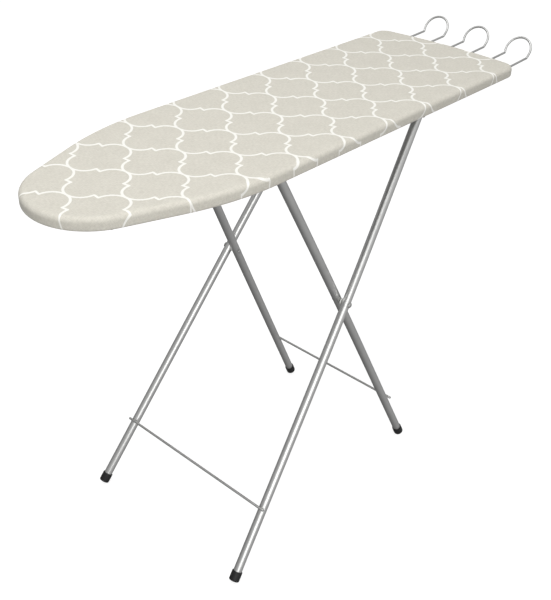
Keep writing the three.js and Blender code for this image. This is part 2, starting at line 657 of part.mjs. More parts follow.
function addHeightLever() {
  const gripRoot = vec(LEVER_X + 10, LEVER_GRIP.y, LEVER_Z - 3.5);
  const gripTo = vec(LEVER_GRIP.x, LEVER_GRIP.y, LEVER_GRIP.z);
  const gripFrom = gripRoot.clone().lerp(gripTo, 0.28);
  const arm = new THREE.CatmullRomCurve3([
    vec(LEVER_HOOK.x, LEVER_HOOK.y, LEVER_HOOK.z),
    vec(INNER.pivotX + 12, LEVER_HOOK.y, LEVER_HOOK.z + 0.3),
    vec(LEVER_X - 14, LEVER_HOOK.y, LEVER_Z - 5),
    vec(LEVER_X, LEVER_HOOK.y - 8, LEVER_Z),
    vec(LEVER_X, LEVER_EARS_Y[0] + 4, LEVER_Z),
    vec(LEVER_X, LEVER_EARS_Y[0], LEVER_Z),
    vec(LEVER_X, LEVER_EARS_Y[1], LEVER_Z),
    vec(LEVER_X, LEVER_GRIP.y + 16, LEVER_Z),
    gripRoot,
    gripFrom,
    gripRoot.clone().lerp(gripTo, 0.64),
    gripTo,
  ], false, 'centripetal');
  add('height_lever', sweep(arm, LEVER_RADIUS, 6, 44), ZINC);
  const along = gripTo.clone().sub(gripFrom);
  const length = along.length() + 4;
  const bore = LEVER_RADIUS + 2 * GAP;
  add('lever_grip', turned([
    [bore, 0], [5.4, 0], [6.2, 2], [5.6, length / 2], [6.4, length - 4], [5, length - 0.5], [0, length],
    [0, length - 3.4], [bore, length - 3.4], [bore, 0],
  ], 16, gripFrom, along), BLACK_PLASTIC);
}

function addLeverBracket() {
  const top = DECK_UNDERSIDE - GAP;
  const x0 = LEVER_X - LEVER_EAR_HALF;
  const x1 = LEVER_X + LEVER_EAR_HALF;
  LEVER_EARS_Y.forEach((y, i) => {
    const isInner = i === 0;
    const foot = isInner ? top : FLANGE_TOP;
    const flangeEnd = isInner ? y - 16 : y + 14;
    const ear = box(x0, x1, y - 1, y + 1, LEVER_Z - LEVER_EAR_DROP, foot);
    const flange = box(x0, x1, Math.min(y, flangeEnd), Math.max(y, flangeEnd), foot - BRACKET_PLATE, foot);
    const bore = crosswiseRod(LEVER_X, LEVER_Z, y - 4, y + 4, LEVER_RADIUS + GAP, 12);
    add(`lever_bracket_${isInner ? 'inner' : 'outer'}`, cut(join([ear, flange]), [bore]), ZINC);
  });
}

// the coiled return spring, drawn as its outer sleeve round the lever's straight part
function addLeverSpring() {
  const bore = LEVER_RADIUS + SPRING_CLEARANCE;
  const profile = [
    [bore, 0], [SPRING_RADIUS, 0], [SPRING_RADIUS, SPRING_LENGTH], [bore, SPRING_LENGTH], [bore, 0],
  ];
  add('lever_spring', turned(profile, 12, vec(LEVER_X, SPRING_Y, LEVER_Z), vec(0, 1, 0)), BRIGHT_WIRE);
}

// ---------------------------------------------------------------- the whole object

addCover();
addPad();
addDeck(RAIL_RIVETS.map(([, x, y]) => rivetHole(x, y, DECK_UNDERSIDE - 1, DECK_TOP + 1)));
addRibs();
addPivotBrackets();
addHeightRails();
addRivets();
addIronRest();
addLegs();
addHeightLever();
addLeverBracket();
addLeverSpring();

export default group;
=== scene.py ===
import json
import math

import bmesh
import bpy
from mathutils import Matrix, Vector, noise


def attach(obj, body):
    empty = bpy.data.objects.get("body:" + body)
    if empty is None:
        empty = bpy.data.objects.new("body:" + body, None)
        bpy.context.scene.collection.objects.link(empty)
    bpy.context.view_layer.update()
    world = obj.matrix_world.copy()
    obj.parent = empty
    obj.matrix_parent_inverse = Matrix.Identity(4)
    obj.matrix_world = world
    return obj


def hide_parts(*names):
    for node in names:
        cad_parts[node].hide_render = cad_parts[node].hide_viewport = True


# Folding ironing board: fine surfaces, materials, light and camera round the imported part.
# Lengths are millimetres until a mesh is made, which is in metres, in the part's own frame.
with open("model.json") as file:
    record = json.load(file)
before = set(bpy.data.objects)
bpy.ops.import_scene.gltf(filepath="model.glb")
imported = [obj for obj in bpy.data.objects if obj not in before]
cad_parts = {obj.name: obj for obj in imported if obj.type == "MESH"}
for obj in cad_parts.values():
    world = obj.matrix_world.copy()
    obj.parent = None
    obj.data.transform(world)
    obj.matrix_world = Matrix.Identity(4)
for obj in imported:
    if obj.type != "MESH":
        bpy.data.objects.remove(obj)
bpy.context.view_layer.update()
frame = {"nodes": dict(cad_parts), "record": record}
nodes = frame["nodes"]
MM = 0.001

# ---------------------------------------------------------------- camera

AZIMUTH = math.radians(-48.59)
ELEVATION = math.radians(32.96)
ROLL = math.radians(1.52)
TARGET = Vector((-0.1193, -0.0503, 0.5))
CAMERA_DISTANCE = 1.9973
LENS = 55.62
SHIFT_X = -0.0085
SHIFT_Y = -0.0033
CLIP_START = 0.05
CLIP_END = 100


def add_camera():
    """Looks at TARGET from AZIMUTH and ELEVATION, turned by ROLL about the line of sight."""
    back = Vector((
        math.sin(AZIMUTH) * math.cos(ELEVATION),
        -math.cos(AZIMUTH) * math.cos(ELEVATION),
        math.sin(ELEVATION),
    ))
    level_right = Vector((0, 0, 1)).cross(back).normalized()
    level_up = back.cross(level_right)
    right = level_right * math.cos(ROLL) + level_up * math.sin(ROLL)
    up = back.cross(right)
    data = bpy.data.cameras.new("camera")
    data.lens = LENS
    data.shift_x = SHIFT_X
    data.shift_y = SHIFT_Y
    data.clip_start = CLIP_START
    data.clip_end = CLIP_END
    camera = bpy.data.objects.new("camera", data)
    bpy.context.scene.collection.objects.link(camera)
    turn = Matrix((right, up, back)).transposed().to_4x4()
    camera.matrix_world = Matrix.Translation(TARGET + back * CAMERA_DISTANCE) @ turn
    bpy.context.scene.camera = camera


add_camera()

# ---------------------------------------------------------------- the part's dimensions

# GAP is the clearance between pieces that fit into each other
GAP = 0.3
BOARD_LENGTH = 1184
BOARD_HALF_WIDTH = 190
BOARD_TOP = 900
BOARD_DEPTH = 25
NOSE_X = -663
TAIL_X = NOSE_X + BOARD_LENGTH
NOSE_RADIUS = 125
TAPER_ANGLE = math.radians(20.4)
SHOULDER_RADIUS = 560
CORNER_RADIUS = 30
TAIL_BOW = 13.4
TOP_EDGE_RADIUS = 10
BOTTOM_EDGE_RADIUS = 5
HEM_WIDTH = 28
PAD_INSET = 6.5
PAD_TOP = 898.2
PAD_BOTTOM = 892.2

TUBE_RADIUS = 9.5
TUBE_BORE = 8.3
TUBE_OVERRUN = 10
# x and z of the rivets where the legs cross
CROSSING = (-50.5, 510.1)
# each pair of legs, with half widths: its feet, its rivets, its upper bar, and its cross wire,
# which is wire_up from the foot along the leg
OUTER = {
    "foot_x": -435.7, "foot_half": 217.6, "cross_half": 174.7,
    "pivot_x": 205.8, "pivot_z": 855, "pivot_half": 140.2,
    "wire_up": 166, "wire_half": 217,
}
INNER = {
    "foot_x": 200.1, "foot_half": 185.7, "cross_half": 151.6,
    "pivot_x": -218.7, "pivot_z": 848, "pivot_half": 123.2,
    "wire_up": 153, "wire_half": 187,
}
CAP_RADIUS = 11.5
CAP_LENGTH = 22
CAP_FLOOR = 3
CAP_EDGE = 1.2
CROSS_WIRE_RADIUS = 2.75
RIVET_RADIUS = 3
RIVET_HEAD_RADIUS = 6
WASHER_RADIUS = 7
WASHER_THICKNESS = 2.4
PIVOT_BAR_RADIUS = 6
PIVOT_BAR_HALF = 154
SLIDE_BAR_RADIUS = 5
SLIDE_BAR_HALF = 137

LOOP_WIRE_RADIUS = 2.5
LOOP_PITCH = 118
LOOP_LEG_HALF = 29.5
LOOP_RING_RADIUS = 31.5
LOOP_TILT = math.radians(54)
LOOP_NECK = (634, 876)
LOOP_LEG_Z = BOARD_TOP - BOARD_DEPTH - LOOP_WIRE_RADIUS - GAP
LOOP_ROOT_X = 448
LOOP_CROSS_X = (456, 484)
LOOP_CROSS_HALF = 160

LEVER_RADIUS = 3
LEVER_AXIS = (-150, 862)
LEVER_HOOK = (-232, -20, 838.2)
LEVER_GRIP = (-86, -124, 846)
LEVER_EARS_Y = (-38, -104)

# ---------------------------------------------------------------- material graphs

# numbers of the colour sockets on a Mix node
MIX_FIRST = 6
MIX_SECOND = 7
MIX_RESULT = 2


class Graph:
    """Adds shader nodes to one material and wires them to its Principled shader."""

    def __init__(self, name):
        self.material = bpy.data.materials.new(name)
        self.material.use_nodes = True
        self.tree = self.material.node_tree
        self.shader = self.tree.nodes["Principled BSDF"]

    def node(self, kind, inputs=None, **settings):
        made = self.tree.nodes.new(kind)
        for key, value in settings.items():
            setattr(made, key, value)
        for key, value in (inputs or {}).items():
            self.feed(made.inputs[key], value)
        return made

    def feed(self, socket, value):
        if isinstance(value, bpy.types.NodeSocket):
            self.tree.links.new(value, socket)
        else:
            socket.default_value = value

    def surface(self, **values):
        """Sets or wires the shader's own sockets, with _ for each space in a socket's name."""
        for key, value in values.items():
            self.feed(self.shader.inputs[key.replace("_", " ")], value)

    def math(self, operation, *values):
        made = self.node("ShaderNodeMath", operation=operation)
        for socket, value in zip(made.inputs, values):
            self.feed(socket, value)
        return made.outputs[0]

    def object_point(self):
        return self.node("ShaderNodeTexCoord").outputs["Object"]

    def stretched(self, vector, scale):
        return self.node("ShaderNodeMapping", {"Vector": vector, "Scale": scale}).outputs[0]

    def noise(self, vector, scale, detail=3.0, roughness=0.55):
        inputs = {"Vector": vector, "Scale": scale, "Detail": detail, "Roughness": roughness}
        return self.node("ShaderNodeTexNoise", inputs).outputs["Fac"]

    def between(self, value, low, high, to_low=0.0, to_high=1.0, smooth=False):
        inputs = {"Value": value, "From Min": low, "From Max": high, "To Min": to_low, "To Max": to_high}
        kind = "SMOOTHSTEP" if smooth else "LINEAR"
        return self.node("ShaderNodeMapRange", inputs, interpolation_type=kind).outputs[0]

    def mix(self, factor, first, second):
        made = self.node("ShaderNodeMix", data_type="RGBA")
        self.feed(made.inputs["Factor"], factor)
        self.feed(made.inputs[MIX_FIRST], first)
        self.feed(made.inputs[MIX_SECOND], second)
        return made.outputs[MIX_RESULT]

    def bump(self, height, distance, strength=1.0):
        inputs = {"Height": height, "Distance": distance, "Strength": strength}
        return self.node("ShaderNodeBump", inputs).outputs[0]


def colour(red, green, blue):
    return (red, green, blue, 1.0)


# sizes of the noise in each finish, as repeats to the metre
METAL_CLOUDS = 18.0
METAL_WEAR = 55.0
PLASTIC_SCUFFS = 60.0
PLASTIC_POLISH = 90.0
PLASTIC_GRAIN = 1400.0
FELT_FIBRES = 900.0
FELT_TUFTS = 160.0
POLISH_SPREAD = 0.08
PLASTIC_GRAIN_DEPTH = 0.00006
FELT_DEPTH = 0.0004
FELT_PALE = colour(0.78, 0.75, 0.69)
FELT_DARK = colour(0.66, 0.63, 0.57)


def metal(name, base, dull, roughness, spread, grain, bump_depth, metallic=1.0):
    """A plated or painted metal: cloudy colour, worn roughness and a fine grain."""
    graph = Graph(name)
    point = graph.object_point()
    clouds = graph.between(graph.noise(point, METAL_CLOUDS, 4.0), 0.35, 0.7)
    specks = graph.noise(point, grain, 2.0, 0.7)
    wear = graph.noise(point, METAL_WEAR, 3.0)
    graph.surface(Base_Color=graph.mix(clouds, base, dull), Metallic=metallic)
    graph.surface(Roughness=graph.between(wear, 0.3, 0.7, roughness - spread, roughness + spread))
    graph.surface(Normal=graph.bump(specks, bump_depth))
    return graph.material


def plastic(name, base, worn_colour, roughness):
    """A moulded plastic with a fine leathery grain and slightly polished patches."""
    graph = Graph(name)
    point = graph.object_point()
    scuffs = graph.between(graph.noise(point, PLASTIC_SCUFFS, 4.0), 0.5, 0.75)
    polish = graph.noise(point, PLASTIC_POLISH, 2.0)
    low, high = roughness - POLISH_SPREAD, roughness + POLISH_SPREAD
    grain = graph.node("ShaderNodeTexVoronoi", {"Vector": point, "Scale": PLASTIC_GRAIN})
    graph.surface(Base_Color=graph.mix(scuffs, base, worn_colour))
    graph.surface(Roughness=graph.between(polish, 0.3, 0.7, low, high))
    graph.surface(Normal=graph.bump(grain.outputs["Distance"], PLASTIC_GRAIN_DEPTH, 0.5))
    return graph.material


def felt():
    """Pressed fibres, longer across the pad than through it, with pale tufts."""
    graph = Graph("felt")
    point = graph.object_point()
    fibres = graph.noise(graph.stretched(point, (1.0, 1.0, 3.0)), FELT_FIBRES, 5.0, 0.8)
    tufts = graph.between(graph.noise(point, FELT_TUFTS, 4.0), 0.35, 0.7)
    graph.surface(Base_Color=graph.mix(tufts, FELT_PALE, FELT_DARK), Sheen_Weight=0.35)
    graph.surface(Roughness=graph.between(fibres, 0.0, 1.0, 0.9, 1.0))
    graph.surface(Normal=graph.bump(fibres, FELT_DEPTH))
    return graph.material


# trellis print on the cover: the lattice, in millimetres of cloth
PRINT_ORIGIN = (-596.2, -1.0)
PRINT_PITCH = 123.2          # along the board, at the nose
PRINT_ROW = 77.4             # from one row to the next, half a cell over
PRINT_RISE = -2.1            # how far each cell along is off the board's axis
PRINT_LEAN = 2.7             # how far each row leans towards the tail
PRINT_GROWTH = 0.363         # the cloth is pulled a little more towards the tail
PRINT_BOW = 2.6              # and the rows bow between the long edges
PRINT_DRIFT = 2.1
PRINT_TWIST = 0.27
PRINT_BEND_LIMIT = 4.2       # past this square of the row count the print runs on evenly
PRINT_CORRECTIONS = 4
PRINT_WOBBLE = 0.4           # how far the printed lines waver
PRINT_STRENGTH = 0.93
CELL = (126.5, 79.0)         # one cell and one row, as drawn
ARC_REACH = 32.8             # rows: how far an arc runs before it meets the step
ARC_STOP = 3.0               # how fast an arc fades past its end
STEP_OVERRUN = 0.9           # how far the arcs run past the step between them
LINE_HALF_WIDTH = 2.4
LINE_SOFTNESS = 0.55
EDGE_LINE_HALF_WIDTH = 1.35  # on the rounded edge, where the print is drawn shorter
EDGE_LINE_AT = 5             # and reached where the print has been drawn in by this much
EDGE_DRAW = 0.53             # the print over the rounded edge is drawn this much shorter

THREAD_PITCH = 0.9
THREAD_RELIEF = 0.35
PRINT_RELIEF = 0.25
SLUB_ALONG = (120.0, 520.0, 1.0)
SLUB_ACROSS = (520.0, 120.0, 1.0)
SLUB_SHARE = 0.85
CLOTH_MOTTLE = 30.0
CLOTH_RELIEF = 0.00018
CLOTH_PALE = colour(0.672, 0.647, 0.573)
CLOTH_DARK = colour(0.574, 0.550, 0.481)
PRINT_COLOUR = colour(0.90, 0.89, 0.845)


def lattice_place(graph, along, across):
    """Where a point of the cloth lies in the lattice, in cells along it and rows across it."""
    g = graph.math
    dx = g("SUBTRACT", along, PRINT_ORIGIN[0])
    dy = g("SUBTRACT", across, PRINT_ORIGIN[1])
    s = g("DIVIDE", dx, PRINT_PITCH)
    r = g("DIVIDE", dy, PRINT_ROW)
    # the stretch of the cloth is undone by repeating the correction, which settles quickly
    for _ in range(PRINT_CORRECTIONS):
        square_s = g("MULTIPLY", s, s)
        square_r = g("MINIMUM", g("MULTIPLY", r, r), PRINT_BEND_LIMIT)
        lean = g("ADD", g("MULTIPLY", r, PRINT_LEAN), g("MULTIPLY", square_r, PRINT_BOW))
        pull = g("ADD", lean, g("MULTIPLY", square_s, PRINT_GROWTH))
        rise = g("ADD", g("MULTIPLY", s, PRINT_RISE), g("MULTIPLY", square_r, PRINT_DRIFT))
        push = g("ADD", rise, g("MULTIPLY", g("MULTIPLY", s, r), PRINT_TWIST))
        s = g("DIVIDE", g("SUBTRACT", dx, pull), PRINT_PITCH)
        r = g("DIVIDE", g("SUBTRACT", dy, push), PRINT_ROW)
    return s, r


def trellis(graph, along, across, half_width):
    """1 on the printed lattice and 0 between its lines."""
    g = graph.math
    s, r = lattice_place(graph, along, across)
    pitch, row = CELL
    # mirror everything into one quarter of a cell
    u = g("PINGPONG", g("MULTIPLY", s, pitch), pitch / 2)
    v = g("PINGPONG", g("MULTIPLY", r, row), row)
    # that quarter is the same turned half round, so only its first half is drawn
    far = g("GREATER_THAN", v, row / 2)
    u = g("ADD", u, g("MULTIPLY", far, g("SUBTRACT", pitch / 2, g("MULTIPLY", u, 2))))
    v = g("ADD", v, g("MULTIPLY", far, g("SUBTRACT", row, g("MULTIPLY", v, 2))))
    centre = pitch / 4
    from_centre = g("SUBTRACT", u, centre)
    tall = g("MULTIPLY", v, centre / ARC_REACH)
    squares = g("ADD", g("MULTIPLY", from_centre, from_centre), g("MULTIPLY", tall, tall))
    past_step = g("SUBTRACT", from_centre, STEP_OVERRUN)
    beyond = g("MULTIPLY", g("MAXIMUM", past_step, 0.0), ARC_STOP)
    to_arc = g("ADD", g("ABSOLUTE", g("SUBTRACT", g("SQRT", squares), centre)), beyond)
    # the step between two arcs leans by the overrun at each of its ends
    height = row - 2 * ARC_REACH
    length = math.hypot(2 * STEP_OVERRUN, height)
    upright = height / length
    slant = 2 * STEP_OVERRUN / length
    past_arc = g("SUBTRACT", v, ARC_REACH)
    across_step = g("ADD", g("MULTIPLY", past_step, upright), g("MULTIPLY", past_arc, slant))
    along_step = g("ADD", g("MULTIPLY", past_step, -slant), g("MULTIPLY", past_arc, upright))
    short = g("MAXIMUM", g("MULTIPLY", along_step, -1.0), 0.0)
    squares = g("ADD", g("MULTIPLY", across_step, across_step), g("MULTIPLY", short, short))
    nearest = g("MINIMUM", to_arc, g("SQRT", squares))
    inner = g("SUBTRACT", half_width, LINE_SOFTNESS)
    outer = g("ADD", half_width, LINE_SOFTNESS)
    return graph.between(nearest, inner, outer, 1.0, 0.0, True)


def cover_fabric():
    """Plain-woven cotton with slubs, printed with the trellis, on coordinates that run in the cloth."""
    graph = Graph("cover_fabric")
    g = graph.math
    cloth = graph.node("ShaderNodeUVMap", uv_map="cloth").outputs[0]
    woven = graph.node("ShaderNodeSeparateXYZ", {"Vector": cloth}).outputs
    print_point = graph.node("ShaderNodeUVMap", uv_map="print").outputs[0]
    drawn = graph.node("ShaderNodeSeparateXYZ", {"Vector": print_point}).outputs
    wobble = graph.between(graph.noise(cloth, 260.0, 2.0), 0.0, 1.0, -PRINT_WOBBLE, PRINT_WOBBLE)
    print_along = g("ADD", g("DIVIDE", drawn[0], MM), wobble)
    print_across = g("ADD", g("DIVIDE", drawn[1], MM), wobble)
    # where the print is drawn shorter over the edge, its lines are drawn finer too
    apart = graph.node("ShaderNodeVectorMath", {0: cloth, 1: print_point}, operation="DISTANCE")
    half_width = graph.between(
        apart.outputs["Value"], 0.0, EDGE_LINE_AT * MM, LINE_HALF_WIDTH, EDGE_LINE_HALF_WIDTH)
    printed = trellis(graph, print_along, print_across, half_width)

    warp = g("SINE", g("MULTIPLY", g("DIVIDE", woven[0], MM), 2 * math.pi / THREAD_PITCH))
    weft = g("SINE", g("MULTIPLY", g("DIVIDE", woven[1], MM), 2 * math.pi / THREAD_PITCH))
    weave = g("MULTIPLY", warp, weft)
    slub_along = graph.noise(graph.stretched(cloth, SLUB_ALONG), 1.0, 3.0)
    slub_across = graph.noise(graph.stretched(cloth, SLUB_ACROSS), 1.0, 3.0)
    slubs = g("MULTIPLY", g("ADD", slub_along, slub_across), 0.5)
    mottle = graph.noise(cloth, CLOTH_MOTTLE, 4.0)
    tone = g("ADD", g("MULTIPLY", slubs, SLUB_SHARE), g("MULTIPLY", mottle, 1 - SLUB_SHARE))
    ground = graph.mix(graph.between(tone, 0.4, 0.6), CLOTH_PALE, CLOTH_DARK)
    ink = g("MULTIPLY", printed, PRINT_STRENGTH)
    graph.surface(Base_Color=graph.mix(ink, ground, PRINT_COLOUR), Sheen_Weight=0.12)
    graph.surface(Roughness=graph.between(slubs, 0.3, 0.7, 0.82, 0.95))
    relief = g("ADD", g("MULTIPLY", weave, THREAD_RELIEF), slubs)
    relief = g("SUBTRACT", relief, g("MULTIPLY", printed, PRINT_RELIEF))
    graph.surface(Normal=graph.bump(relief, CLOTH_RELIEF, 0.55))
    return graph.material


# base colour, dull colour, roughness and its spread, size of grain, depth of grain
METALS = {
    "silver_tube": (colour(0.76, 0.76, 0.75), colour(0.70, 0.70, 0.69), 0.33, 0.03, 300.0, 0.000001),
    "bright_wire": (colour(0.62, 0.62, 0.61), colour(0.55, 0.55, 0.54), 0.45, 0.03, 300.0, 0.000001),
    "zinc_steel": (colour(0.58, 0.59, 0.61), colour(0.44, 0.45, 0.47), 0.38, 0.1, 500.0, 0.00003),
}
# the deck and its ribs are painted, so they are not metallic
PAINT = (colour(0.60, 0.60, 0.59), colour(0.54, 0.54, 0.53), 0.5, 0.06, 1600.0, 0.00005, 0.0)
# base colour, worn colour, roughness
PLASTICS = {
    "black_plastic": (colour(0.006, 0.006, 0.0065), colour(0.014, 0.014, 0.0145), 0.55),
    "white_plastic": (colour(0.8, 0.8, 0.78), colour(0.7, 0.7, 0.68), 0.42),
}
FINISHES = {slot: metal(slot, *look) for slot, look in METALS.items()}
FINISHES["deck_steel"] = metal("deck_steel", *PAINT)
FINISHES.update({slot: plastic(slot, *look) for slot, look in PLASTICS.items()})
FINISHES["felt"] = felt()
FINISHES["cover_fabric"] = cover_fabric()

# ---------------------------------------------------------------- mesh helpers

SHARP_ANGLE = math.radians(38)
BODY_OF = {}
for body, members in frame["record"]["behaviour"]["bodies"].items():
    BODY_OF.update(dict.fromkeys(members, body))
SLOT_OF = {part["node"]: part["material_slot"] for part in frame["record"]["subparts"]}


def shade(mesh):
    mesh.polygons.foreach_set("use_smooth", [True] * len(mesh.polygons))
    mesh.set_sharp_from_angle(angle=SHARP_ANGLE)


def stand_for(node, mesh):
    """An object of this mesh that replaces one CAD node and takes its body and finish."""
    obj = bpy.data.objects.new(mesh.name, mesh)
    bpy.context.scene.collection.objects.link(obj)
    mesh.materials.clear()
    mesh.materials.append(FINISHES[SLOT_OF[node]])
    shade(mesh)
    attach(obj, BODY_OF[node])
    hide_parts(node)
    return obj


def piece(node, points, faces, name=None):
    """A fine mesh, from points in millimetres, that stands for one CAD node."""
    mesh = bpy.data.meshes.new(name or node + "_fine")
    mesh.from_pydata([Vector(p) * MM for p in points], [], faces)
    mesh.update()
    return stand_for(node, mesh)


# share of a short edge that a rounded corner may use up
ROUNDED_SHARE = 0.45
# rings of a bar stay this many edge roundings clear of its ends
RING_CLEARANCE = 1.3
DRILL_SIDES = 32
DRILL_LENGTH = 40
# rounding at the ends of a crosswise bar
CROSSWISE_EDGE = 0.7


def basis_for(direction):
    """Two directions square to a direction and to each other."""
    along = Vector(direction).normalized()
    side = along.orthogonal().normalized()
    return side, along.cross(side)


def ring_faces(rings, sides, closed):
    """Faces between rings of points, and from the last ring back to the first if closed."""
    faces = []
    for ring in range(rings if closed else rings - 1):
        a = ring * sides
        b = ((ring + 1) % rings) * sides
        for i in range(sides):
            j = (i + 1) % sides
            faces.append((a + i, a + j, b + j, b + i))
    return faces


def turned(node, profile, sides, origin, direction):
    """A turned piece. Its profile is (radius, height) pairs, and starts and ends on the axis or
    closes on itself."""
    side, other = basis_for(direction)
    along = Vector(direction).normalized()
    closed = profile[0][0] > 0
    inner = profile if closed else profile[1:-1]
    points = []
    for radius, height in inner:
        for i in range(sides):
            angle = 2 * math.pi * i / sides
            out = side * math.cos(angle) + other * math.sin(angle)
            points.append(Vector(origin) + out * radius + along * height)
    faces = ring_faces(len(inner), sides, closed)
    if not closed:
        first = len(points)
        points.append(Vector(origin) + along * profile[0][1])
        points.append(Vector(origin) + along * profile[-1][1])
        last = (len(inner) - 1) * sides
        for i in range(sides):
            j = (i + 1) % sides
            faces.append((first, j, i))
            faces.append((first + 1, last + i, last + j))
    return piece(node, points, faces)


def rounded(profile, radius, steps=4):
    """The profile with each inner corner replaced by a small curve, up to radius from the corner."""
    out = [profile[0]]
    for before, here, after in zip(profile, profile[1:], profile[2:]):
        here_v = Vector(here)
        a = Vector(before) - here_v
        b = Vector(after) - here_v
        reach = min(radius, a.length * ROUNDED_SHARE, b.length * ROUNDED_SHARE)
        start = here_v + a.normalized() * reach
        end = here_v + b.normalized() * reach
        for i in range(steps + 1):
            t = i / steps
            p = start * (1 - t) ** 2 + here_v * 2 * t * (1 - t) + end * t ** 2
            out.append((p.x, p.y))
    out.append(profile[-1])
    return out


def catmull(points, count):
    """Centripetal Catmull-Rom curve through the points, as count + 1 samples."""
    points = [Vector(p) for p in points]
    spans = len(points) - 1

    def at(t):
        span = min(int(t * spans), spans - 1)
        w = t * spans - span
        p1, p2 = points[span], points[span + 1]
        p0 = points[span - 1] if span > 0 else p1 * 2 - p2
        p3 = points[span + 2] if span + 2 <= spans else p2 * 2 - p1
        d0, d1, d2 = ((b - a).length_squared ** 0.25 for a, b in ((p0, p1), (p1, p2), (p2, p3)))
        d1 = d1 or 1.0
        d0 = d0 or d1
        d2 = d2 or d1
        t1 = ((p1 - p0) / d0 - (p2 - p0) / (d0 + d1) + (p2 - p1) / d1) * d1
        t2 = ((p2 - p1) / d1 - (p3 - p1) / (d1 + d2) + (p3 - p2) / d2) * d1
        return (p1 * (2 * w ** 3 - 3 * w ** 2 + 1) + t1 * (w ** 3 - 2 * w ** 2 + w)
                + p2 * (-2 * w ** 3 + 3 * w ** 2) + t2 * (w ** 3 - w ** 2))

    return [at(i / count) for i in range(count + 1)]


def even(points, step):
    """The same line with its points a fixed step apart."""
    lengths = [0.0]
    for a, b in zip(points, points[1:]):
        lengths.append(lengths[-1] + (b - a).length)
    count = max(2, round(lengths[-1] / step))
    out, k = [], 0
    for i in range(count + 1):
        want = lengths[-1] * i / count
        while k < len(points) - 2 and lengths[k + 1] < want:
            k += 1
        t = (want - lengths[k]) / max(lengths[k + 1] - lengths[k], 1e-9)
        out.append(points[k].lerp(points[k + 1], t))
    return out


def frames(points):
    """A tangent and a side direction at each point, turned as little as possible along the line."""
    tangents = []
    for i in range(len(points)):
        a = points[max(i - 1, 0)]
        b = points[min(i + 1, len(points) - 1)]
        tangents.append((b - a).normalized())
    side = basis_for(tangents[0])[0]
    found = []
    for tangent in tangents:
        side = (side - tangent * side.dot(tangent)).normalized()
        found.append((tangent, side))
    return found


def swept(node, rings, sides, closed):
    """A surface through rings, each (centre, tangent, side, radius). Open rows of rings are capped."""
    points = []
    for centre, tangent, side, radius in rings:
        other = tangent.cross(side)
        for i in range(sides):
            angle = 2 * math.pi * i / sides
            across = side * (radius * math.cos(angle))
            points.append(centre + across + other * (radius * math.sin(angle)))
    faces = ring_faces(len(rings), sides, closed)
    if not closed:
        last = (len(rings) - 1) * sides
        faces.append(tuple(reversed(range(sides))))
        faces.append(tuple(range(last, last + sides)))
    return piece(node, points, faces)


def end_rings(point, tangent, side, inward, radius, reach, steps=4):
    """Rings of the rounded edge at one cut end, from the end face inwards."""
    rings = []
    for i in range(steps + 1):
        angle = math.pi / 2 * i / steps
        centre = point + inward * (reach * (1 - math.cos(angle)))
        rings.append((centre, tangent, side, radius - reach * (1 - math.sin(angle))))
    return rings


def outside_rings(line, radius, reach):
    """Rings of a round bar along a line, both of its ends rounded."""
    along = frames(line)
    (tangent, side), (tangent_end, side_end) = along[0], along[-1]
    rings = end_rings(line[0], tangent, side, tangent, radius, reach)
    for point, (t, s) in zip(line[1:-1], along[1:-1]):
        if min((point - line[0]).length, (point - line[-1]).length) > reach * RING_CLEARANCE:
            rings.append((point, t, s, radius))
    return rings + end_rings(line[-1], tangent_end, side_end, -tangent_end, radius, reach)[::-1]


def wire(node, line, radius, sides=20, reach=None):
    """A round solid wire or bar along a line, with softly rounded cut ends."""
    line = [Vector(p) for p in line]
    return swept(node, outside_rings(line, radius, reach or radius * 0.5), sides, False)


def tube(node, line, radius, bore, sides=40, reach=0.4):
    """A hollow tube along a line, with the edges of its cut ends rounded by reach."""
    line = [Vector(p) for p in line]
    outside = outside_rings(line, radius, reach)
    inside = outside_rings(line, bore + reach, -reach)
    inside = [(c, t, s, bore if r > bore else r) for c, t, s, r in inside]
    return swept(node, outside + inside[::-1], sides, True)


def drill(obj, holes):
    """Cuts round crosswise holes through a piece, each (x, y, z, radius)."""
    for x, y, z, radius in holes:
        bpy.ops.mesh.primitive_cylinder_add(
            vertices=DRILL_SIDES, radius=radius * MM, depth=DRILL_LENGTH * MM,
            location=Vector((x, y, z)) * MM, rotation=(math.pi / 2, 0, 0))
        cutter = bpy.context.object
        modifier = obj.modifiers.new("hole", "BOOLEAN")
        modifier.operation = "DIFFERENCE"
        modifier.solver = "EXACT"
        modifier.object = cutter
        bpy.context.view_layer.update()
        evaluated = obj.evaluated_get(bpy.context.evaluated_depsgraph_get())
        cut = bpy.data.meshes.new_from_object(evaluated)
        obj.modifiers.clear()
        obj.data = cut
        bpy.data.objects.remove(cutter)
    shade(obj.data)


def crosswise(node, x, z, half, radius, sides=32):
    """A straight round bar across the board."""
    return wire(node, [(x, -half, z), (x, half, z)], radius, sides, CROSSWISE_EDGE)

# ---------------------------------------------------------------- board outline

TAIL_RADIUS = (BOARD_HALF_WIDTH ** 2 + TAIL_BOW ** 2) / (2 * TAIL_BOW)
STATION_STEP = 6.0
SAME_POINT = 0.01
# faces in each row across the flat top
ROW_FACES = 20


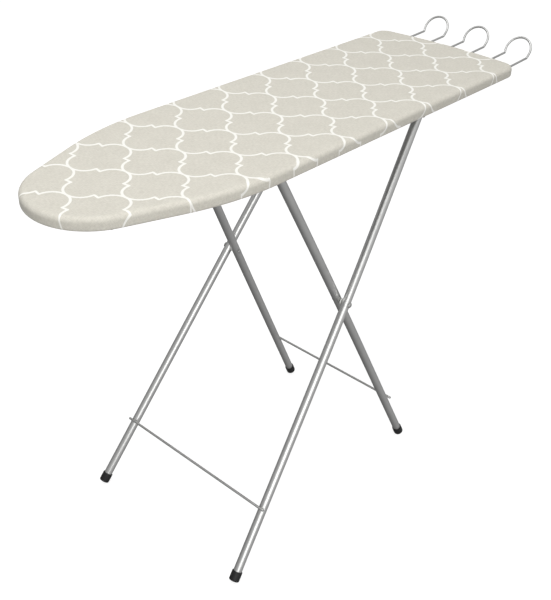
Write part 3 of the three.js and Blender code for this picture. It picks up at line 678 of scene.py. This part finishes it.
def outline_stations():
    """Half of the outline from the nose to the middle of the tail, as (point, outward direction)."""
    taper_start = math.pi / 2 + TAPER_ANGLE
    nose_x = NOSE_X + NOSE_RADIUS
    rise = BOARD_HALF_WIDTH - SHOULDER_RADIUS
    reach = SHOULDER_RADIUS - NOSE_RADIUS + rise * math.cos(TAPER_ANGLE)
    shoulder_x = nose_x + reach / math.sin(TAPER_ANGLE)
    tail_x = TAIL_X - TAIL_RADIUS
    corner_y = BOARD_HALF_WIDTH - CORNER_RADIUS
    corner_x = tail_x + math.sqrt((TAIL_RADIUS - CORNER_RADIUS) ** 2 - corner_y ** 2)
    corner_end = math.atan2(corner_y, corner_x - tail_x)
    arcs = [
        (nose_x, 0, NOSE_RADIUS, math.pi, taper_start),
        (shoulder_x, rise, SHOULDER_RADIUS, taper_start, math.pi / 2),
        (corner_x, corner_y, CORNER_RADIUS, math.pi / 2, corner_end),
        (tail_x, 0, TAIL_RADIUS, corner_end, 0),
    ]
    stations = []
    for x, y, radius, start, end in arcs:
        steps = max(12, round(radius * abs(end - start) / STATION_STEP))
        for i in range(steps + 1):
            angle = start + (end - start) * i / steps
            out = Vector((math.cos(angle), math.sin(angle)))
            point = Vector((x, y)) + out * radius
            if stations:
                before, before_out = stations[-1]
                gap = (point - before).length
                if gap < SAME_POINT:
                    continue
                parts = int(gap / (1.5 * STATION_STEP)) + 1
                for k in range(1, parts):
                    stations.append((before.lerp(point, k / parts), before_out))
            stations.append((point, out))
    return stations


HALF_OUTLINE = outline_stations()
OTHER_HALF = [(Vector((p.x, -p.y)), Vector((n.x, -n.y))) for p, n in HALF_OUTLINE[1:-1]]
OUTLINE = OTHER_HALF + HALF_OUTLINE[::-1]


def slab_mesh(levels, crown):
    """A closed slab of the board's outline. Levels are (inset, height) from the bottom up."""
    points = []
    count = len(OUTLINE)
    for inset, height in levels:
        for p, n in OUTLINE:
            place = p - n * inset
            points.append(Vector((place.x, place.y, height)))
    faces = ring_faces(len(levels), count, False)
    faces.append(tuple(reversed(range(count))))
    faces += fill_top(points, (len(levels) - 1) * count, levels[-1][0], levels[-1][1], crown)
    return points, faces


def fill_top(points, first, inset, height, crown):
    """Fills a rim of outline points, numbered from first, with crosswise rows of faces.

    Each new point is raised above height by crown(x, y)."""
    """Fills a rim of outline points, numbered from first, with crosswise rows of faces."""
    half = len(HALF_OUTLINE)
    mirrored = half - 2

    def rim(row, left):
        if left or row in (0, half - 1):
            return first + mirrored + (half - 1 - row)
        return first + row - 1

    rows = []
    for row, (point, out) in enumerate(HALF_OUTLINE):
        edge = point - out * inset
        if row in (0, half - 1):
            rows.append([rim(row, True)] * (ROW_FACES + 1))
            continue
        line = [rim(row, False)]
        for k in range(1, ROW_FACES):
            x, y = edge.x, edge.y * (2 * k / ROW_FACES - 1)
            line.append(len(points))
            points.append(Vector((x, y, height + crown(x, y))))
        rows.append(line + [rim(row, True)])
    faces = []
    for low, high in zip(rows, rows[1:]):
        for k in range(ROW_FACES):
            corners = [low[k], high[k], high[k + 1], low[k + 1]]
            kept = [c for n, c in enumerate(corners) if c not in corners[:n]]
            if len(kept) > 2:
                faces.append(tuple(kept))
    return faces


# ---------------------------------------------------------------- cover and pad

TOP_EDGE_STEPS = 8
SIDE_STEPS = 3
BOTTOM_EDGE_STEPS = 6
HEM_STEPS = 10
CASING_RADIUS = 1.7
CASING_STEPS = 10
CASING_TURN = 1.7 * math.pi
COVER_BOTTOM = BOARD_TOP - BOARD_DEPTH
COVER_SHARP_ANGLE = math.radians(80)
CLOTH_THICKNESS = 0.9

GATHER_PITCH = 17.0
GATHER_PITCH_DRIFT = 0.6       # in gathers, over about the next length
GATHER_PITCH_LENGTH = 61.0
GATHER_DEPTH = 1.9
GATHER_LEAST = 0.6
GATHER_MEAN = 0.65
GATHER_DEPTH_DRIFT = 0.5       # over about the next length
GATHER_DEPTH_LENGTH = 37.0
GATHER_START = 9.0
GATHER_GROWTH = 1.4

PAD_FOOT = [(0.8, 0), (0.2, 0.4), (0, 1.4)]    # inset and rise of its lower edge
PAD_EDGE_STEPS = 6
PAD_EDGE_INSET = 6
PAD_EDGE_DROP = 4.5
PAD_EDGE_RISE = 4.2


def cover_profile():
    """(inset, height, cloth run) from the edge of the flat top, round the side and under, to the
    end of the hem's casing. The run is the length of cloth from the first point."""
    profile = []
    for i in range(TOP_EDGE_STEPS + 1):
        angle = math.pi / 2 * i / TOP_EDGE_STEPS
        inset = TOP_EDGE_RADIUS * (1 - math.sin(angle))
        profile.append((inset, BOARD_TOP - TOP_EDGE_RADIUS * (1 - math.cos(angle))))
    side_top = BOARD_TOP - TOP_EDGE_RADIUS
    side_bottom = COVER_BOTTOM + BOTTOM_EDGE_RADIUS
    for i in range(1, SIDE_STEPS + 1):
        profile.append((0.0, side_top + (side_bottom - side_top) * i / SIDE_STEPS))
    for i in range(1, BOTTOM_EDGE_STEPS + 1):
        angle = math.pi / 2 * i / BOTTOM_EDGE_STEPS
        inset = BOTTOM_EDGE_RADIUS * (1 - math.cos(angle))
        profile.append((inset, side_bottom - BOTTOM_EDGE_RADIUS * math.sin(angle)))
    hem_run = HEM_WIDTH - CASING_RADIUS - BOTTOM_EDGE_RADIUS
    for i in range(1, HEM_STEPS + 1):
        profile.append((BOTTOM_EDGE_RADIUS + hem_run * i / HEM_STEPS, COVER_BOTTOM))
    hem_inset, hem_height = profile[-1]
    for i in range(1, CASING_STEPS):
        angle = CASING_TURN * i / CASING_STEPS
        inset = hem_inset + CASING_RADIUS * math.sin(angle)
        profile.append((inset, hem_height + CASING_RADIUS * (1 - math.cos(angle))))
    run, out = 0.0, []
    for k, (inset, height) in enumerate(profile):
        if k:
            run += math.dist(profile[k - 1], (inset, height))
        out.append((inset, height, run))
    return out


def gather(distance, inset):
    """How far the hem rises in its gathers at one place along the outline."""
    strength = min(1.0, max(0.0, (inset - GATHER_START) / (HEM_WIDTH - GATHER_START)))
    drift = noise.noise(Vector((distance / GATHER_PITCH_LENGTH, 0.0, 3.0)))
    phase = distance / GATHER_PITCH + GATHER_PITCH_DRIFT * drift
    height = 0.5 + 0.5 * math.sin(2 * math.pi * phase)
    drift = noise.noise(Vector((distance / GATHER_DEPTH_LENGTH, 5.0, 0.0)))
    height *= GATHER_MEAN + GATHER_DEPTH_DRIFT * drift
    return strength ** GATHER_GROWTH * (GATHER_LEAST + GATHER_DEPTH * 2 * max(0.0, height))


def cover_crown(x, y):
    """The slight rise and fall of cloth over felt."""
    return 0.22 * noise.noise(Vector((x / 95.0, y / 70.0, 1.0))) - 0.1


def pad_crown(x, y):
    """The unevenness of the felt."""
    return 0.25 * noise.noise(Vector((x / 40.0, y / 40.0, 7.0))) - 0.3


def make_cover():
    """The cloth, with one UV layer for the weave and one for the print, both in metres of cloth."""
    profile = cover_profile()
    distances, run = [], 0.0
    for i, (p, _) in enumerate(OUTLINE):
        run += (p - OUTLINE[i - 1][0]).length if i else 0.0
        distances.append(run)
    points, cloth, drawn = [], [], []
    for inset, height, length in reversed(profile):
        in_hem = height < COVER_BOTTOM + 2 * CASING_RADIUS and inset > GATHER_START
        for (p, n), distance in zip(OUTLINE, distances):
            place = p - n * inset
            lift = gather(distance, inset) if in_hem else 0.0
            points.append(Vector((place.x, place.y, height + lift)))
            cloth.append(p + n * (length - TOP_EDGE_RADIUS))
            drawn.append(p + n * (length * EDGE_DRAW - TOP_EDGE_RADIUS))
    count = len(OUTLINE)
    faces = ring_faces(len(profile), count, False)
    faces += fill_top(points, (len(profile) - 1) * count, TOP_EDGE_RADIUS, BOARD_TOP, cover_crown)
    flat_top = [Vector((p.x, p.y)) for p in points[len(cloth):]]
    cover = piece("cover", points, faces, "cover_cloth")
    for layer_name, rim in (("cloth", cloth), ("print", drawn)):
        places = rim + flat_top
        layer = cover.data.uv_layers.new(name=layer_name)
        for loop in cover.data.loops:
            layer.data[loop.index].uv = places[loop.vertex_index] * MM
    cover.data.set_sharp_from_angle(angle=COVER_SHARP_ANGLE)
    thick = cover.modifiers.new("thickness", "SOLIDIFY")
    thick.thickness = CLOTH_THICKNESS * MM
    thick.offset = -1
    wrap = profile[-1][2] - TOP_EDGE_RADIUS
    length = (BOARD_LENGTH + 2 * wrap) * MM


def make_pad():
    levels = [(PAD_INSET + inset, PAD_BOTTOM + rise) for inset, rise in PAD_FOOT]
    for i in range(PAD_EDGE_STEPS + 1):
        angle = math.pi / 2 * i / PAD_EDGE_STEPS
        inset = PAD_INSET + PAD_EDGE_INSET * (1 - math.cos(angle))
        levels.append((inset, PAD_TOP - PAD_EDGE_DROP + PAD_EDGE_RISE * math.sin(angle)))
    points, faces = slab_mesh(levels, pad_crown)
    pad = piece("pad", points, faces, "pad_felt")


make_cover()
make_pad()

# ---------------------------------------------------------------- legs

LEG_SAMPLES = 60
LEG_RING_STEP = 30
CAP_ROUNDING = 0.9
RIVET_STAND_OFF = 0.9          # from the tube's side to the rivet's head
RIVET_ROUNDING = 0.8
WASHER_ROUNDING = 0.5


def crossing_point(leg, sign):
    return Vector((CROSSING[0], sign * leg["cross_half"], CROSSING[1]))


def pivot_point(leg, sign):
    return Vector((leg["pivot_x"], sign * leg["pivot_half"], leg["pivot_z"]))


def foot_point(leg, sign):
    """The middle of the end cap's face, set so that the cap's lowest edge is on the floor, and the
    direction up the leg."""
    foot = Vector((leg["foot_x"], sign * leg["foot_half"], 0))
    crossing = crossing_point(leg, sign)
    steep = (crossing - foot).normalized()
    tilt = math.sqrt(1 - steep.z ** 2)
    foot.z = max(CAP_RADIUS * tilt - CAP_EDGE * steep.z, (CAP_RADIUS - CAP_EDGE) * tilt)
    return foot, (crossing - foot).normalized()


def leg_line(leg, sign):
    """The leg's middle line, from the floor of its cap to a little past its upper bar."""
    foot, lower = foot_point(leg, sign)
    crossing = crossing_point(leg, sign)
    pivot = pivot_point(leg, sign)
    upper = (pivot - crossing).normalized()
    low_end = foot + lower * (CAP_FLOOR + GAP)
    high_end = pivot + upper * TUBE_OVERRUN
    return even(catmull([low_end, crossing, high_end], LEG_SAMPLES), LEG_RING_STEP)


def make_leg(name, leg, sign, pivot_radius):
    obj = tube(name, leg_line(leg, sign), TUBE_RADIUS, TUBE_BORE)
    drill(obj, [
        (*crossing_point(leg, sign), RIVET_RADIUS + GAP),
        (*pivot_point(leg, sign), pivot_radius + GAP),
    ])


def make_cap(name, leg, sign):
    foot, along = foot_point(leg, sign)
    bore = TUBE_RADIUS + GAP
    profile = rounded([
        (0, 0), (CAP_RADIUS - CAP_EDGE, 0), (CAP_RADIUS, CAP_EDGE),
        (CAP_RADIUS, CAP_LENGTH - CAP_EDGE), (CAP_RADIUS - CAP_EDGE / 2, CAP_LENGTH),
        (bore, CAP_LENGTH), (bore, CAP_FLOOR), (0, CAP_FLOOR),
    ], CAP_ROUNDING)
    turned(name, profile, 48, foot, along)


def make_cross_wire(name, leg, face_sign):
    """A wire across both legs, on the face of the tubes that looks away from the other pair."""
    foot, along = foot_point(leg, 1)
    at = foot + along * leg["wire_up"]
    face = Vector((face_sign * along.z, 0, -face_sign * along.x)).normalized()
    centre = at + face * (TUBE_RADIUS + CROSS_WIRE_RADIUS + GAP)
    crosswise(name, centre.x, centre.z, leg["wire_half"], CROSS_WIRE_RADIUS, 24)


def make_crossing_pivot(side, sign):
    """The rivet through both tubes where they cross, and the washer between them."""
    outside = OUTER["cross_half"] + TUBE_RADIUS + RIVET_STAND_OFF
    shank = outside - (INNER["cross_half"] - TUBE_RADIUS - RIVET_STAND_OFF)
    head = RIVET_HEAD_RADIUS
    profile = rounded([
        (0, -3), (head - 2, -2.4), (head, -0.8), (head, 0), (RIVET_RADIUS, 0), (RIVET_RADIUS, shank),
        (head - 1, shank), (head - 1, shank + 1), (head - 2.5, shank + 2.2), (0, shank + 2.6),
    ], RIVET_ROUNDING)
    start = (CROSSING[0], sign * outside, CROSSING[1])
    turned(f"crossing_rivet_{side}", profile, 40, start, (0, -sign, 0))
    bore = RIVET_RADIUS + GAP
    half = WASHER_THICKNESS / 2
    ring = rounded([
        (bore, 0), (bore, -half), (WASHER_RADIUS, -half),
        (WASHER_RADIUS, half), (bore, half), (bore, 0),
    ], WASHER_ROUNDING)
    middle = (CROSSING[0], sign * (OUTER["cross_half"] + INNER["cross_half"]) / 2, CROSSING[1])
    # the ring closes on itself, so its repeated last point is dropped
    turned(f"crossing_washer_{side}", ring[:-1], 40, middle, (0, 1, 0))


for side, sign in (("left", 1), ("right", -1)):
    make_leg(f"outer_leg_{side}", OUTER, sign, PIVOT_BAR_RADIUS)
    make_leg(f"inner_leg_{side}", INNER, sign, SLIDE_BAR_RADIUS)
    make_cap(f"outer_foot_cap_{side}", OUTER, sign)
    make_cap(f"inner_foot_cap_{side}", INNER, sign)
    make_crossing_pivot(side, sign)
make_cross_wire("outer_cross_wire", OUTER, -1)
make_cross_wire("inner_cross_wire", INNER, 1)
crosswise("pivot_bar", OUTER["pivot_x"], OUTER["pivot_z"], PIVOT_BAR_HALF, PIVOT_BAR_RADIUS)
crosswise("slide_bar", INNER["pivot_x"], INNER["pivot_z"], SLIDE_BAR_HALF, SLIDE_BAR_RADIUS)

# ---------------------------------------------------------------- iron rest

BEND_SAMPLES = 600
BEND_STEP = 2.5
WIRE_SIDES = 18
RING_PARTS = 16
NECK_SPREAD = 1.2              # each side of the ring starts this far in from its leg
LOOP_RISE = [(-30, 0), (8, 0.1)]    # past the tail and up, where the legs begin to bend
REST_WIRE_Z = LOOP_LEG_Z - 2 * LOOP_WIRE_RADIUS - GAP


def loop_line(y):
    """The bent wire of one loop: a leg, a ring open at its neck, and the other leg."""
    half = LOOP_LEG_HALF
    neck_x, neck_z = LOOP_NECK
    leg = [(LOOP_ROOT_X, y - half, LOOP_LEG_Z)]
    leg += [(TAIL_X + past, y - half, LOOP_LEG_Z + up) for past, up in LOOP_RISE]
    leg += [(neck_x - 8, y - half, neck_z - 0.5), (neck_x, y - half, neck_z)]
    chord = half - NECK_SPREAD
    centre = math.sqrt(LOOP_RING_RADIUS ** 2 - chord ** 2)
    start = math.atan2(-centre, -chord) + 2 * math.pi
    end = math.atan2(-centre, chord)
    ring = []
    for i in range(1, RING_PARTS):
        angle = start + (end - start) * i / RING_PARTS
        out = centre + LOOP_RING_RADIUS * math.sin(angle)
        x = neck_x + out * math.cos(LOOP_TILT)
        z = neck_z + out * math.sin(LOOP_TILT)
        ring.append((x, y + LOOP_RING_RADIUS * math.cos(angle), z))
    other = [(x, 2 * y - py, z) for x, py, z in reversed(leg)]
    return even(catmull(leg + ring + other, BEND_SAMPLES), BEND_STEP)


for i, name in enumerate(("right", "middle", "left")):
    wire(f"rest_loop_{name}", loop_line((i - 1) * LOOP_PITCH), LOOP_WIRE_RADIUS, WIRE_SIDES)
for x, name in zip(LOOP_CROSS_X, ("nose", "tail")):
    crosswise(f"rest_cross_wire_{name}", x, REST_WIRE_Z, LOOP_CROSS_HALF, LOOP_WIRE_RADIUS, 20)

# ---------------------------------------------------------------- height lever

GRIP_START = 0.28              # shares of the way from the bend to the tip
GRIP_MIDDLE = 0.64
GRIP_RIB_RADII = (5.8, 5.35)
GRIP_RIBS = 5
SPRING_TURNS = 11
SPRING_TURN_POINTS = 20
SPRING_RADIUS = 4.5
SPRING_WIRE_RADIUS = 0.62
SPRING_START_Y = -66
SPRING_LENGTH = 22


def make_lever():
    """The bent wire, from its hook by the slide bar through both ears to the grip, and the grip."""
    axis_x, axis_z = LEVER_AXIS
    hook_x, hook_y, hook_z = LEVER_HOOK
    near_ear, far_ear = LEVER_EARS_Y
    bend = Vector((axis_x + 10, LEVER_GRIP[1], axis_z - 3.5))
    tip = Vector(LEVER_GRIP)
    start = bend.lerp(tip, GRIP_START)
    arm = [
        (hook_x, hook_y, hook_z),
        (INNER["pivot_x"] + 12, hook_y, hook_z + 0.3),
        (axis_x - 14, hook_y, axis_z - 5),
        (axis_x, hook_y - 8, axis_z),
        (axis_x, near_ear + 4, axis_z),
        (axis_x, near_ear, axis_z),
        (axis_x, far_ear, axis_z),
        (axis_x, LEVER_GRIP[1] + 16, axis_z),
        bend, start, bend.lerp(tip, GRIP_MIDDLE), tip,
    ]
    wire("height_lever", even(catmull(arm, BEND_SAMPLES), BEND_STEP), LEVER_RADIUS, WIRE_SIDES)

    along = tip - start
    length = along.length + 4
    bore = LEVER_RADIUS + 2 * GAP
    crest, valley = GRIP_RIB_RADII
    ribs = []
    for i in range(GRIP_RIBS):
        middle = length * (0.25 + 0.12 * i)
        ribs += [(crest, middle - 1.8), (valley, middle - 0.7)]
        ribs += [(valley, middle + 0.7), (crest, middle + 1.8)]
    mouth = [(bore, 4), (bore, 0), (5.4, 0), (6.2, 2)]
    nose = [(6.3, length - 4), (5, length - 0.5), (0, length)]
    bottom = [(0, length - 3.4), (bore, length - 3.4)]
    turned("lever_grip", bottom + rounded(mouth + ribs + nose, 0.6), 32, start, along)


def make_spring():
    """The coiled return spring on the lever's straight part."""
    steps = SPRING_TURNS * SPRING_TURN_POINTS
    line = []
    for i in range(steps + 1):
        angle = 2 * math.pi * i / SPRING_TURN_POINTS
        x = LEVER_AXIS[0] + SPRING_RADIUS * math.cos(angle)
        y = SPRING_START_Y + SPRING_WIRE_RADIUS + (SPRING_LENGTH - 2 * SPRING_WIRE_RADIUS) * i / steps
        line.append((x, y, LEVER_AXIS[1] + SPRING_RADIUS * math.sin(angle)))
    wire("lever_spring", line, SPRING_WIRE_RADIUS, 10)


make_lever()
make_spring()

# ---------------------------------------------------------------- pressed steel pieces

WELD_DISTANCE = 2e-6
FLAT_ANGLE = math.radians(0.5)
CORNER_ANGLE = math.radians(40)
BEVEL = 0.35
DECK_BEVEL = 0.15              # the deck is thin sheet


def is_corner(edge):
    return len(edge.link_faces) == 2 and edge.calc_face_angle(0) > CORNER_ANGLE


def refined(node, bevel):
    """A CAD node's own shape with its corners broken by a small bevel."""
    mesh = bpy.data.meshes.new(node + "_fine")
    shape = bmesh.new()
    shape.from_mesh(nodes[node].data)
    bmesh.ops.remove_doubles(shape, verts=shape.verts, dist=WELD_DISTANCE)
    bmesh.ops.dissolve_limit(shape, angle_limit=FLAT_ANGLE, verts=shape.verts, edges=shape.edges)
    corners = [edge for edge in shape.edges if is_corner(edge)]
    bmesh.ops.bevel(
        shape, geom=corners, offset=bevel * MM, segments=2, affect="EDGES", clamp_overlap=True)
    shape.to_mesh(mesh)
    shape.free()
    obj = stand_for(node, mesh)
    # the large flat faces keep their own direction, so only the broken corners shade round
    flatten = obj.modifiers.new("flat_faces", "WEIGHTED_NORMAL")
    flatten.mode = "FACE_AREA"
    flatten.keep_sharp = True


# the nodes that nothing stands for yet
for name in sorted(nodes):
    if not nodes[name].hide_render:
        refined(name, DECK_BEVEL if name == "deck" else BEVEL)

# ---------------------------------------------------------------- floor and light

FLOOR_SIZE = 60.0
FLOOR_Z = -0.0006
FLOOR_PALE = colour(0.32, 0.32, 0.32)
FLOOR_DARK = colour(0.3, 0.3, 0.3)
FLOOR_GLOW = 0.85
BACKDROP_RADIUS = 26.0
BACKDROP_GLOW = 0.93
# the sky's light is SKY_LEVEL plus the direction times SKY_LEAN
SKY_LEAN = (0.0, -0.15, 0.2)
SKY_LEVEL = 0.39


def add_floor():
    """A pale floor whose glow the camera sees, but which lights nothing."""
    bpy.ops.mesh.primitive_plane_add(size=FLOOR_SIZE, location=(0, 0, FLOOR_Z))
    floor = bpy.context.object
    floor.name = "floor"
    graph = Graph("floor")
    cloudy = graph.between(graph.noise(graph.object_point(), 0.6, 2.0), 0.3, 0.7)
    graph.surface(Base_Color=graph.mix(cloudy, FLOOR_PALE, FLOOR_DARK), Roughness=0.9)
    graph.surface(Emission_Color=colour(1, 1, 1), Emission_Strength=FLOOR_GLOW)
    floor.data.materials.append(graph.material)
    floor.visible_glossy = False
    floor.visible_diffuse = False


def add_backdrop():
    """A pale wall all round, seen behind the floor but lighting nothing."""
    bpy.ops.mesh.primitive_uv_sphere_add(radius=BACKDROP_RADIUS, segments=64, ring_count=32)
    wall = bpy.context.object
    wall.name = "backdrop"
    graph = Graph("backdrop")
    graph.surface(Base_Color=colour(0, 0, 0), Roughness=1.0, Specular_IOR_Level=0.0)
    graph.surface(Emission_Color=colour(1, 1, 1), Emission_Strength=BACKDROP_GLOW)
    wall.data.materials.append(graph.material)
    wall.visible_diffuse = False
    wall.visible_glossy = False
    wall.visible_shadow = False


def add_softbox(name, place, size, power, aim=(0.0, 0.0, 0.6)):
    """A round soft light that the camera does not see."""
    light = bpy.data.lights.new(name, "AREA")
    light.shape = "DISK"
    light.size = size
    light.energy = power
    obj = bpy.data.objects.new(name, light)
    bpy.context.scene.collection.objects.link(obj)
    place = Vector(place)
    turn = (Vector(aim) - place).to_track_quat("-Z", "Y")
    obj.matrix_world = Matrix.Translation(place) @ turn.to_matrix().to_4x4()
    obj.visible_camera = False


def add_sky():
    """Even light from all round, a little stronger from above and from the near side."""
    world = bpy.data.worlds.new("studio")
    bpy.context.scene.world = world
    world.use_nodes = True
    tree = world.node_tree
    direction = tree.nodes.new("ShaderNodeTexCoord").outputs["Generated"]
    lean = tree.nodes.new("ShaderNodeVectorMath")
    lean.operation = "DOT_PRODUCT"
    tree.links.new(direction, lean.inputs[0])
    lean.inputs[1].default_value = SKY_LEAN
    level = tree.nodes.new("ShaderNodeMath")
    level.operation = "ADD"
    tree.links.new(lean.outputs["Value"], level.inputs[0])
    level.inputs[1].default_value = SKY_LEVEL
    tree.links.new(level.outputs[0], tree.nodes["Background"].inputs["Color"])


add_floor()
add_backdrop()
add_sky()
add_softbox("overhead", place=(-0.75, -0.15, 3.9), size=3.0, power=68)
add_softbox("front", place=(-1.45, -1.5, 1.0), size=1.8, power=12.5, aim=(-0.3, 0.0, 0.5))
bpy.context.scene.view_settings.view_transform = "Standard"
